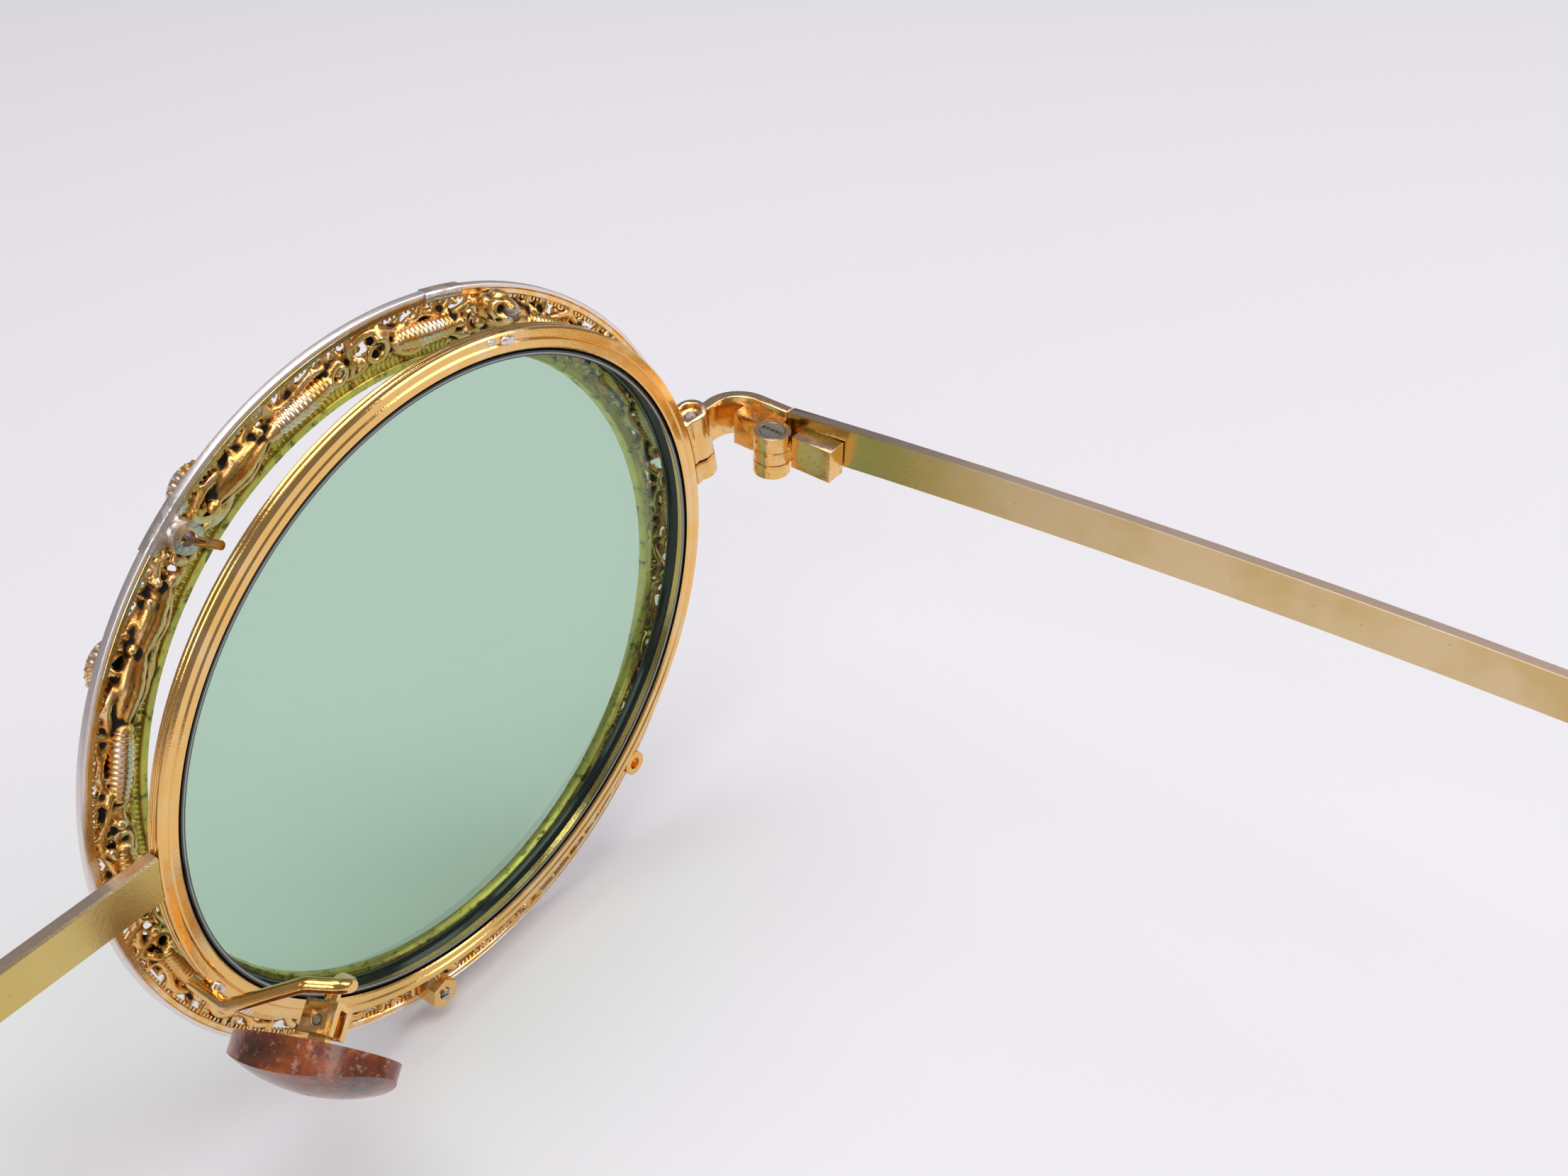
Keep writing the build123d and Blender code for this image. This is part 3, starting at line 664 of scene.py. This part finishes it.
def innerBand():
    # smooth inner band with a milled ledge outside it
    r0, r1, d0, d1 = band["inner"], band["outer"], band["rear"], band["front"]
    ring = lathed([(r0 + 0.05, d0), (r0, d0 + 0.06), (r0, d1 - 0.06), (r0 + 0.05, d1), (r1 - 0.06, d1),
                   (r1, d1 - 0.08), (r1, d0 + 0.05), (r1 - 0.05, d0)], band["steps"])
    out, tips = band["ledge"], band["ledgeRear"]
    low, high = tips + 0.12, tips + 0.12 + band["ledgeDepth"]
    ledge = lathed([(r1 - 0.1, low), (out, low), (out, high), (r1 - 0.1, high)], band["steps"])
    tooth = bmesh.new()
    bmesh.ops.create_cube(tooth, size=1.0)
    bmesh.ops.scale(tooth, vec=band["toothSize"], verts=tooth.verts)
    bmesh.ops.bevel(tooth, geom=tooth.edges[:], offset=band["toothEdge"], segments=1, affect="EDGES")
    milled = repeated(tooth, "olive", band["teeth"], (r1 + out) / 2 - 0.02, tips + 0.16, 0, 360, 0.05, 8)
    bead = bmesh.new()
    bmesh.ops.create_icosphere(bead, subdivisions=1, radius=band["beadRadius"])
    front = repeated(bead, "olive", band["beads"], r1 + 0.1, d1 - 0.12, 0, 360, 0.06, 9)
    return gathered([ring, ledge, milled, front])


pair(outerWall(), "clipWall", "silver", "clip_ring_{}", ["clip_outer_wall_{}"])
pair(innerBand(), "clipBand", "olive", "clip_ring_{}", ["clip_inner_band_{}"])
report("clip walls made")

casting = {"midRadius": 25.8, "inner": 24.4, "outer": 27.5, "rearAtInner": 4.20, "rearAtOuter": 3.55,
           "barrels": (3, 21, 76, 99, 125, 160, 180, 200, 255, 298, 322, 342),
           "curls": (12, 47, 87, 137, 170, 190, 224, 275, 310, 332, 352),
           "leaves": (32, 41, 64, 116, 147, 213, 242, 267), "knots": (52, 105, 151, 207, 234, 290),
           "struts": 104, "grains": 300, "web": 1100, "voxel": 0.14}


def dish(radius):
    # the openwork's rear face gets further forward towards the middle of the ring
    share = (radius - casting["inner"]) / (casting["outer"] - casting["inner"])
    return casting["rearAtInner"] + (casting["rearAtOuter"] - casting["rearAtInner"]) * share


def onDish(radius, angle, behind):
    # a place a little behind the openwork's rear face
    return polar(radius, angle, dish(radius) - behind)


def castWork():
    # the openwork between the two walls, fused into one casting
    rng = random.Random(11)
    bm = bmesh.new()
    mid, inner, outer = casting["midRadius"], casting["inner"], casting["outer"]
    # two wandering wires that tie the work to the walls
    for lane, phase in ((-0.85, 0.0), (0.95, 1.9)):
        points = []
        for i in range(361):
            ripple = 0.36 * math.sin(math.radians(i) * 36 + phase) + 0.15 * math.sin(math.radians(i) * 17)
            points.append(onDish(mid + lane + ripple, i, 0.15 * math.sin(math.radians(i) * 23 + phase)))
        tube(bm, points, 0.34, 6)
    # struts from wall to wall
    for i in range(casting["struts"]):
        angle = 360 * i / casting["struts"] + rng.uniform(-1.2, 1.2)
        slant = rng.uniform(-1.8, 1.8)
        tube(bm, [onDish(inner - 0.2, angle - slant, -0.1), onDish(mid, angle, rng.uniform(-0.15, 0.35)),
                  onDish(outer + 0.2, angle + slant, -0.1)], rng.uniform(0.18, 0.32), 6)
    # low web that closes most of the gaps
    for i in range(casting["web"]):
        radius = rng.uniform(inner, outer - 0.25)
        ball(bm, onDish(radius, rng.uniform(0, 360), -0.28), rng.uniform(0.28, 0.46), 1, (1, 1, 0.6))
    # curls
    for angle in casting["curls"]:
        for hand in (-1, 1):
            points = []
            for k in range(22):
                share = k / 21
                swing = math.radians(400 * share) * hand
                size = 1.15 * (1 - 0.72 * share)
                across = size * math.cos(swing) * 0.85
                along = 0.35 * hand + size * math.sin(swing) * 0.9 + 1.15 * hand
                points.append(onDish(mid + across, angle + math.degrees(along / mid), 0.55 - 0.3 * share))
            tube(bm, points, [0.30 * (1 - 0.35 * k / 21) for k in range(22)], 7)
        ball(bm, onDish(mid + 0.1, angle, 0.70), 0.42, 2)
    # granule knots
    for angle in casting["knots"]:
        for k in range(9):
            across, along = rng.uniform(-0.9, 0.9), rng.uniform(-2.6, 2.6)
            place = onDish(mid + across, angle + along, rng.uniform(0.3, 0.8))
            ball(bm, place, rng.uniform(0.24, 0.44), 2)
    # leaves: long tapered spindles lying along the ring
    for angle in casting["leaves"]:
        for lane, rise in ((-0.55, 0.62), (0.55, 0.55), (0.0, 0.85)):
            points = [onDish(mid + lane * (0.4 + 0.8 * math.sin(math.pi * k / 12)), angle + (k - 6) * 0.95,
                             rise - 0.35 * abs(k - 6) / 6) for k in range(13)]
            swell = [math.sin(math.pi * (0.06 + 0.88 * k / 12)) ** 0.8 for k in range(13)]
            tube(bm, points, [0.12 + 0.38 * share for share in swell], 8)
        for k in (-1, 1):
            ball(bm, onDish(mid, angle + k * 6.2, 0.65), 0.48, 2, (1, 1, 0.9))
            ball(bm, onDish(mid + 0.9 * k, angle + k * 4.9, 0.5), 0.32, 2)
    # collars at the barrel ends
    for angle in casting["barrels"]:
        for k in (-1, 1):
            ball(bm, onDish(mid, angle + k * 5.0, 0.55), 0.60, 2, (1, 0.7, 1),
                 Matrix.Rotation(math.radians(angle), 4, "Z"))
    # scattered grains
    for i in range(casting["grains"]):
        ball(bm, onDish(mid + rng.uniform(-1.45, 1.6), rng.uniform(0, 360), rng.uniform(-0.1, 0.5)),
             rng.uniform(0.14, 0.27), 1)
    bmesh.ops.recalc_face_normals(bm, faces=bm.faces)
    obj = loose(meshOf(bm, "casting"))
    fuse = obj.modifiers.new("fuse", "REMESH")
    fuse.mode, fuse.voxel_size, fuse.use_smooth_shade = "VOXEL", casting["voxel"], True
    ease = obj.modifiers.new("ease", "SMOOTH")
    ease.factor, ease.iterations = 0.4, 2
    mesh = plain(obj, "casting")
    mesh.transform(ringPlace @ Matrix.Scale(mm, 4))
    hollows(mesh, 14, 0.12)
    return crease(mesh, 180)


pair(castWork(), "clipCasting", "cast", "clip_ring_{}", ["clip_openwork_{}"])
report("casting made")

barrel = {"length": 4.4, "radius": 0.82, "rib": 0.34, "forward": 3.38, "ribHeight": 0.055, "facets": 16}


def barrelShape():
    # a ribbed barrel lying along the ring: local y is along, x is outwards
    bm = bmesh.new()
    ribs = int(barrel["length"] / barrel["rib"])
    facets = barrel["facets"]
    profile = []
    for k in range(ribs * 4 + 1):
        y = -barrel["length"] / 2 + barrel["length"] * k / (ribs * 4)
        belly = barrel["radius"] * (1 - 0.22 * (2 * y / barrel["length"]) ** 2)
        profile.append((y, belly - barrel["ribHeight"] * (1 - math.cos(2 * math.pi * k / 4))))
    turns = [2 * math.pi * s / facets for s in range(facets)]
    loops = [[bm.verts.new((r * math.cos(turn), y, r * math.sin(turn))) for turn in turns]
             for y, r in profile]
    for here, there in zip(loops, loops[1:]):
        for s in range(facets):
            bm.faces.new((here[s], here[(s + 1) % facets], there[(s + 1) % facets], there[s]))
    bm.faces.new(loops[0])
    bm.faces.new(loops[-1])
    bmesh.ops.recalc_face_normals(bm, faces=bm.faces)
    return bm


def barrels():
    parts = [repeated(barrelShape(), "cast", 1, casting["midRadius"], barrel["forward"], angle)
             for angle in casting["barrels"]]
    mesh = gathered(parts, smooth=180)
    hollows(mesh, 2, 0.03)
    return mesh


pair(barrels(), "clipBarrels", "castSilver", "clip_ring_{}", ["clip_barrels_{}"])

stones = {"angles": (33.5, 58.5, 121.5, 146.5, 213.5, 238.5, 301.5, 326.5), "pitch": 26.0, "radius": 1.75,
          "wall": 0.28, "hole": 1.2, "rear": 4.0, "floor": 4.7, "front": 5.28, "steps": 36, "beads": 26,
          "beadRadius": 0.2, "beadBack": 0.45}


def bezels():
    # a cup with a beaded edge round each stone
    parts = []
    inside, outside = stones["radius"] + 0.02, stones["radius"] + stones["wall"]
    hole, rear, floor, front = stones["hole"], stones["rear"], stones["floor"], stones["front"]
    for angle in stones["angles"]:
        centre = polar(stones["pitch"], angle)
        cup = lathed([(hole, rear), (outside, rear), (outside, front - 0.23), (outside - 0.12, front),
                      (inside, front - 0.02), (inside, floor), (hole, floor)], stones["steps"])
        bmesh.ops.translate(cup, vec=centre, verts=cup.verts)
        parts.append(cup)
        grain = bmesh.new()
        bmesh.ops.create_icosphere(grain, subdivisions=1, radius=stones["beadRadius"])
        beads = repeated(grain, "cast", stones["beads"], outside, front - stones["beadBack"])
        beads.transform(Matrix.Translation(centre))
        parts.append(beads)
    mesh = gathered(parts)
    hollows(mesh, 2, 0.05)
    return mesh


pair(bezels(), "clipBezels", "castSilver", "clip_ring_{}", ["clip_bezels_{}"])
report("barrels and bezels made")

knob = {"angle": 110.8, "radius": 26.9, "rear": 0.75, "voxel": 0.10, "pocketRadius": 0.62,
        # along, outwards, forwards and radius of each lump
        "lumps": ((0, 0, 0.80, 0.92), (0.55, 0.15, 1.0, 0.72), (-0.6, 0.2, 0.95, 0.66),
                  (0, 0.35, 1.5, 0.95), (0.3, -0.2, 1.8, 0.95), (-0.5, 0.1, 2.0, 0.85),
                  (0.1, 0.2, 2.7, 0.95), (0.85, 0.5, 1.7, 0.45), (-0.95, 0.4, 1.6, 0.45)),
        # along, outwards and forwards of each pocket's middle
        "pockets": ((-0.75, 0.25, 0.15), (-0.35, -0.85, 0.5), (1.1, 0.6, 1.0)), "heart": 1.7}


def bossKnob():
    # lumpy cast knob on the boss, with pockets in it
    bm = bmesh.new()
    spot = polar(knob["radius"], knob["angle"], knob["rear"])
    outwards = polar(1, knob["angle"])
    sideways = polar(1, knob["angle"] + 90)
    for along, out, forward, size in knob["lumps"]:
        ball(bm, spot + sideways * along + outwards * out + Vector((0, 0, forward)), size, 3)
    obj = loose(meshOf(bm, "knob"))
    fuse = obj.modifiers.new("fuse", "REMESH")
    fuse.mode, fuse.voxel_size, fuse.use_smooth_shade = "VOXEL", knob["voxel"], True
    mesh = plain(obj, "knob")
    bm = bmesh.new()
    bm.from_mesh(mesh)
    pockets = [spot + sideways * along + outwards * out + Vector((0, 0, forward))
               for along, out, forward in knob["pockets"]]
    for vert in bm.verts:
        for pocket in pockets:
            gap = (vert.co - pocket).length
            if gap < knob["pocketRadius"]:
                inward = (spot + Vector((0, 0, knob["heart"])) - vert.co).normalized()
                vert.co += inward * knob["pocketRadius"] * (1 - (gap / knob["pocketRadius"]) ** 2)
        vert.co += vert.normal * 0.05 * noise.noise(vert.co * 3.0)
    bmesh.ops.smooth_vert(bm, verts=bm.verts, factor=0.5, use_axis_x=True, use_axis_y=True, use_axis_z=True)
    mesh = gathered([bm], smooth=180)
    hollows(mesh, 12, 0.10)
    return mesh


pair(bossKnob(), "clipKnob", "castSilver", "clip_ring_{}", ["clip_boss_{}"])

caps = {"outer": 28.44, "rear": 3.22, "front": 4.0, "steps": 12,
        # start and sweep in degrees, inner radius
        "spots": ((99.5, 6.5, 27.7), (48.8, 7.5, 27.45))}


def wallCaps():
    # silver plates lapped over the outer wall beside the boss and the tube
    parts = []
    for start, sweep, r0 in caps["spots"]:
        r1, d0, d1 = caps["outer"], caps["rear"], caps["front"]
        profile = [(r0, d0 + 0.1), (r0 + 0.1, d0), (r1 - 0.14, d0), (r1, d0 + 0.16), (r1, d1), (r0, d1)]
        parts.append(lathed(profile, caps["steps"], start, sweep))
    return gathered(parts, smooth=50)


pair(wallCaps(), "clipCaps", "solder", "clip_ring_{}")

# radius, angle, forwards, size and stretch of each blob
solder = {"places": ((25.45, 104.5, -0.02, 0.42, 1.5), (25.6, 101.2, 0.05, 0.30, 1.2),
                     (25.9, -20.5, 0.0, 0.55, 1.3))}


def solderBlobs():
    # solder left on the eyewire near the boss and at the pad arm's root, in eyewire millimetres
    bm = bmesh.new()
    for radius, angle, forward, size, stretch in solder["places"]:
        ball(bm, polar(radius, angle, forward), size, 3, (0.8, stretch, 0.6),
             Matrix.Rotation(math.radians(angle), 4, "Z"))
    for vert in bm.verts:
        vert.co += vert.normal * 0.10 * noise.noise(vert.co * 2.5)
    return gathered([bm], eyePlace, 180)


rim = {"inner": 24.5, "outer": 25.98, "depth": 1.15, "bead": 25.25, "edge": 0.12, "steps": 300,
       "stripes": (0.45, 0.80)}


def eyewireRing():
    # slim eyewire: a bead line on its rear face and two turned lines round its outer side
    r0, r1, d1, e, b = rim["inner"], rim["outer"], rim["depth"], rim["edge"], rim["bead"]
    profile = [(r0, e), (r0 + e, 0.01), (b - e, 0.01), (b, e), (b + e, 0.01), (r1 - e, 0.01), (r1, e)]
    for stripe in rim["stripes"]:
        profile += [(r1, stripe - 0.08), (r1 - 0.06, stripe), (r1, stripe + 0.08)]
    profile += [(r1, d1 - e), (r1 - e, d1), (r0 + e, d1), (r0, d1 - e)]
    return gathered([lathed(profile, rim["steps"])], eyePlace)


pair(eyewireRing(), "eyewireRing", "polished", "front", ["eyewire_{}"])
pair(solderBlobs(), "solderBlobs", "solder", "front")
report("knob and solder made")

gilt = {"look": "hardware", "slot": "polished_gilt", "steps": 2, "edgeLook": None, "angle": 30}
strip = {"look": "satin", "slot": "satin_gilt", "steps": 1, "edgeLook": "chamfer", "angle": 60}
# node, piece, body, width of the broken edge in millimetres and finish
softPieces = (
    ("endpiece", "endpiece", "front", 0.10, gilt), ("front_hinge", "hingeLeaf", "front", 0.07, gilt),
    ("closing_block_upper", "closingUpper", "front", 0.09, gilt),
    ("closing_block_lower", "closingLower", "front", 0.09, gilt),
    ("temple_hinge", "templeHinge", "temple_{}_arm", 0.07, gilt),
    ("temple", "templeStrip", "temple_{}_arm", 0.16, strip), ("pad_box", "padBox", "front", 0.08, gilt),
)
for side in sides:
    for node, piece, body, width, finish in softPieces:
        softened(f"{node}_{side}", piece + side.capitalize(), body=body.format(side), width=width, **finish)
softened("bridge_bar", "bridgeBar", body="front", width=0.14, **strip)

# CAD pieces that keep their own shape
kept = {
    "lens": "glass", "closing_screw": "steel", "hinge_screw": "steel", "pad_arm": "polished",
    "pad_pin": "steel", "pad_lug": "polished", "nose_pad": "shell", "temple_tip": "shell",
    "clip_cabochons": "stone", "clip_beads": "polished", "clip_tube": "solder", "clip_nut": "hardware",
    "clip_loop": "polished", "clip_screws": "steel", "clip_catch_pins": "hardware",
}
for base, look in kept.items():
    for side in sides:
        node = nodes[f"{base}_{side}"]
        node.data.materials.clear()
        node.data.materials.append(looks[look])
        for face in node.data.polygons:
            face.material_index = 0
report("kept pieces painted")


def floorPaint():
    p = Paint("paleFloor")
    colour = p.mix(p.noise(0.004, 2.0), (0.80, 0.785, 0.835), (0.84, 0.83, 0.865))
    return p.done(p.surface(colour, 0.6, p.bump(p.noise(0.5), 0.01)))


bm = bmesh.new()
bmesh.ops.create_grid(bm, x_segments=1, y_segments=1, size=3.0)
floor = loose(meshOf(bm, "floor"), "floor")
floor.location.z = -0.0002
floor.data.materials.append(floorPaint())

world = bpy.data.worlds.new("studio")
bpy.context.scene.world = world
world.use_nodes = True
world.node_tree.nodes["Background"].inputs["Color"].default_value = (0.78, 0.77, 0.82, 1)
world.node_tree.nodes["Background"].inputs["Strength"].default_value = 0.30

lamps = {
    "overhead": {"place": (-0.05, -0.10, 0.60), "aim": (-0.03, -0.04, 0.02), "size": (0.5, 0.5), "power": 2.4,
                 "colour": (1.0, 0.98, 0.96)},
    "window": {"place": (-0.45, 0.30, 0.40), "aim": (-0.04, -0.03, 0.03), "size": (0.35, 0.5), "power": 1.6,
               "colour": (0.96, 0.98, 1.0)},
    "behind": {"place": (0.40, 0.10, 0.35), "aim": (-0.03, -0.05, 0.03), "size": (0.3, 0.3), "power": 0.7,
               "colour": (1.0, 0.97, 0.93)},
}
for name, lamp in lamps.items():
    data = bpy.data.lights.new(name, "AREA")
    data.shape, data.size, data.size_y = "RECTANGLE", *lamp["size"]
    data.energy, data.color = lamp["power"], lamp["colour"]
    light = bpy.data.objects.new(name, data)
    light.location = lamp["place"]
    light.rotation_euler = (Vector(lamp["aim"]) - Vector(lamp["place"])).to_track_quat("-Z", "Y").to_euler()
    bpy.context.scene.collection.objects.link(light)

view = {"fromLens": (63.35, 70.69, 82.85), "turn": (51.494, -1.341, 125.97), "lens": 40.69}
cameraData = bpy.data.cameras.new("camera")
cameraData.sensor_width, cameraData.lens = 36, view["lens"]
cameraData.clip_start, cameraData.clip_end = 0.005, 20
camera = bpy.data.objects.new("camera", cameraData)
camera.location = Vector((eyeCentre.x, rearY, eyeCentre.z)) + Vector(view["fromLens"]) * mm
camera.rotation_euler = [math.radians(angle) for angle in view["turn"]]
bpy.context.scene.collection.objects.link(camera)
bpy.context.scene.camera = camera
bpy.context.scene.view_settings.view_transform = "Standard"
report("stage set")
